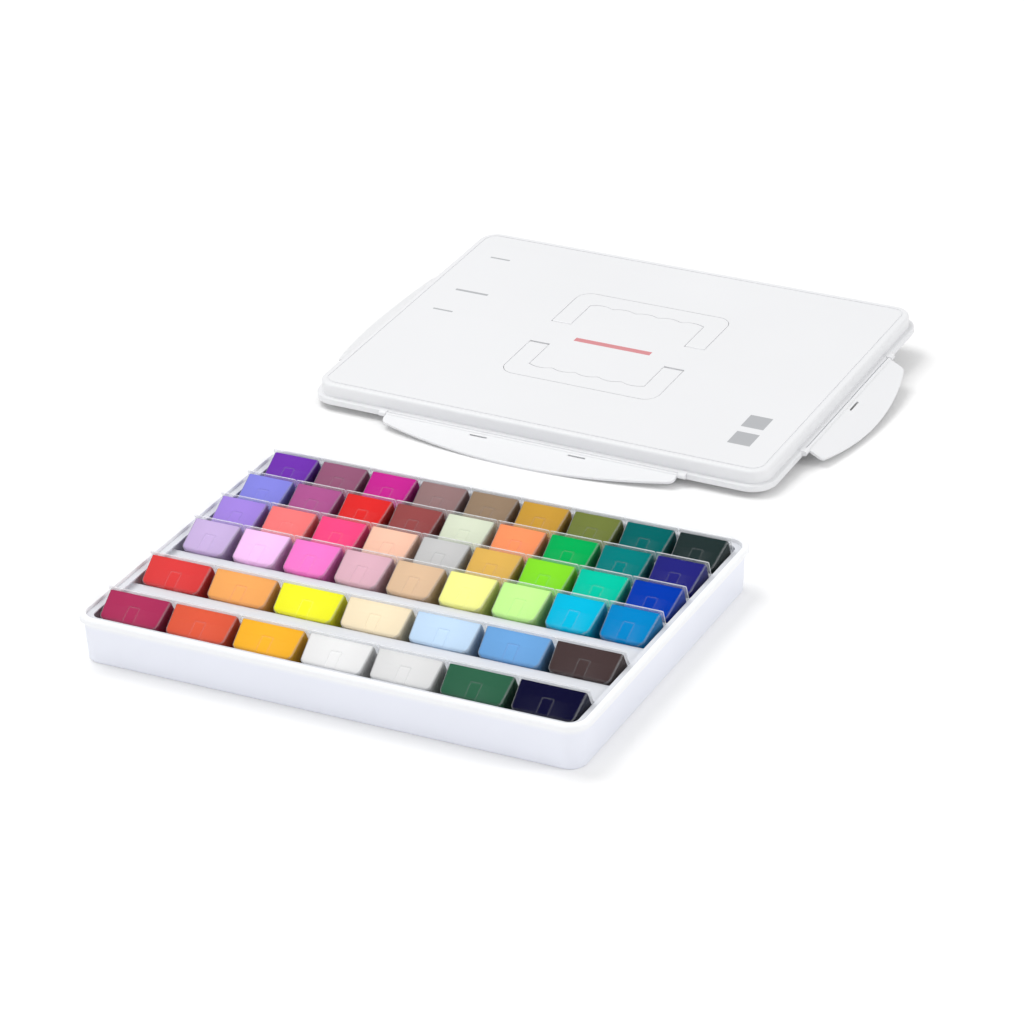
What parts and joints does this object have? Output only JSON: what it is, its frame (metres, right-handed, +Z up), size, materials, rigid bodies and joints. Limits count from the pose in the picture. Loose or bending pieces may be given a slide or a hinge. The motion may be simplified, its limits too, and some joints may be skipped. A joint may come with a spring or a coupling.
{
  "type": "gouache paint set box",
  "caption": "Flat white plastic case with a clear rack of leaning paint cups in rows, and a separate lid with snap flaps and fold-flat carrying handles.",
  "frame": {"origin": "middle of the tray's flat base, on the table", "axes": "+X across the tray to the right, +Y from the front row of cups to the back, towards the lid, +Z up"},
  "size_m": [0.4661, 0.7314, 0.0455],
  "materials": {
    "tray_plastic": "smooth white moulded plastic",
    "clear_rack": "clear formed sheet",
    "clear_cup": "clear moulded plastic",
    "film": "thin translucent sealing film",
    "lid_plastic": "satin white moulded plastic",
    "seal_rubber": "soft pale grey",
    "paint_1": "soft gouache paint, another colour in each cup",
    "paint_2": "soft gouache paint, another colour in each cup",
    "paint_3": "soft gouache paint, another colour in each cup",
    "paint_4": "soft gouache paint, another colour in each cup",
    "paint_5": "soft gouache paint, another colour in each cup",
    "paint_6": "soft gouache paint, another colour in each cup"
  },
  "bodies": {
    "tray": {"tray": "tray_plastic", "rack": "clear_rack"},
    "cups_1": {"cups_row_1": "clear_cup", "paint_row_1": "paint_1", "film_row_1": "film"},
    "cups_2": {"cups_row_2": "clear_cup", "paint_row_2": "paint_2", "film_row_2": "film"},
    "cups_3": {"cups_row_3": "clear_cup", "paint_row_3": "paint_3", "film_row_3": "film"},
    "cups_4": {"cups_row_4": "clear_cup", "paint_row_4": "paint_4", "film_row_4": "film"},
    "cups_5": {"cups_row_5": "clear_cup", "paint_row_5": "paint_5", "film_row_5": "film"},
    "cups_6": {"cups_row_6": "clear_cup", "paint_row_6": "paint_6", "film_row_6": "film"},
    "lid": {"lid_shell": "lid_plastic", "lid_seal": "seal_rubber"},
    "flap_front": {"flap_front": "lid_plastic"},
    "flap_back": {"flap_back": "lid_plastic"},
    "flap_left": {"flap_left": "lid_plastic"},
    "flap_right": {"flap_right": "lid_plastic"},
    "handle_front": {"handle_front": "lid_plastic"},
    "handle_back": {"handle_back": "lid_plastic"}
  },
  "joints": [
    {"name": "lid_lift", "type": "slide", "parent": "tray", "child": "lid", "axis": [0, 0, 1], "range_m": [0, 0.2]},
    {"name": "front_flap_hinge", "type": "hinge", "parent": "lid", "child": "flap_front", "pos_m": [-0.04629, 0.2744, 0.00847], "axis": [-0.9994, 0.0349, 0], "range_deg": [-77.35, 12.65]},
    {"name": "back_flap_hinge", "type": "hinge", "parent": "lid", "child": "flap_back", "pos_m": [-0.03571, 0.57736, 0.02701], "axis": [0.9994, -0.0349, 0], "range_deg": [0, 90]},
    {"name": "left_flap_hinge", "type": "hinge", "parent": "lid", "child": "flap_left", "pos_m": [-0.24353, 0.43295, 0.01774], "axis": [0.0348, 0.9975, 0.061], "range_deg": [-62, 28]},
    {"name": "right_flap_hinge", "type": "hinge", "parent": "lid", "child": "flap_right", "pos_m": [0.16152, 0.41881, 0.01774], "axis": [-0.0348, -0.9975, -0.061], "range_deg": [-62, 28]},
    {"name": "back_handle_hinge", "type": "hinge", "parent": "lid", "child": "handle_back", "pos_m": [-0.04031, 0.44568, 0.0296], "axis": [0.9994, -0.0349, 0], "range_deg": [0, 110]},
    {"name": "front_handle_hinge", "type": "hinge", "parent": "lid", "child": "handle_front", "pos_m": [-0.04174, 0.40478, 0.0271], "axis": [-0.9994, 0.0349, 0], "range_deg": [0, 110]},
    {"name": "row_1_lift", "type": "slide", "parent": "tray", "child": "cups_1", "axis": [0, -0.4478, 0.8942], "range_m": [0, 0.06]},
    {"name": "row_2_lift", "type": "slide", "parent": "tray", "child": "cups_2", "axis": [0, -0.4478, 0.8942], "range_m": [0, 0.06]},
    {"name": "row_3_lift", "type": "slide", "parent": "tray", "child": "cups_3", "axis": [0, -0.3305, 0.9438], "range_m": [0, 0.06]},
    {"name": "row_4_lift", "type": "slide", "parent": "tray", "child": "cups_4", "axis": [0, -0.3305, 0.9438], "range_m": [0, 0.06]},
    {"name": "row_5_lift", "type": "slide", "parent": "tray", "child": "cups_5", "axis": [0, -0.3305, 0.9438], "range_m": [0, 0.06]},
    {"name": "row_6_lift", "type": "slide", "parent": "tray", "child": "cups_6", "axis": [0, -0.3305, 0.9438], "range_m": [0, 0.06]}
  ]
}
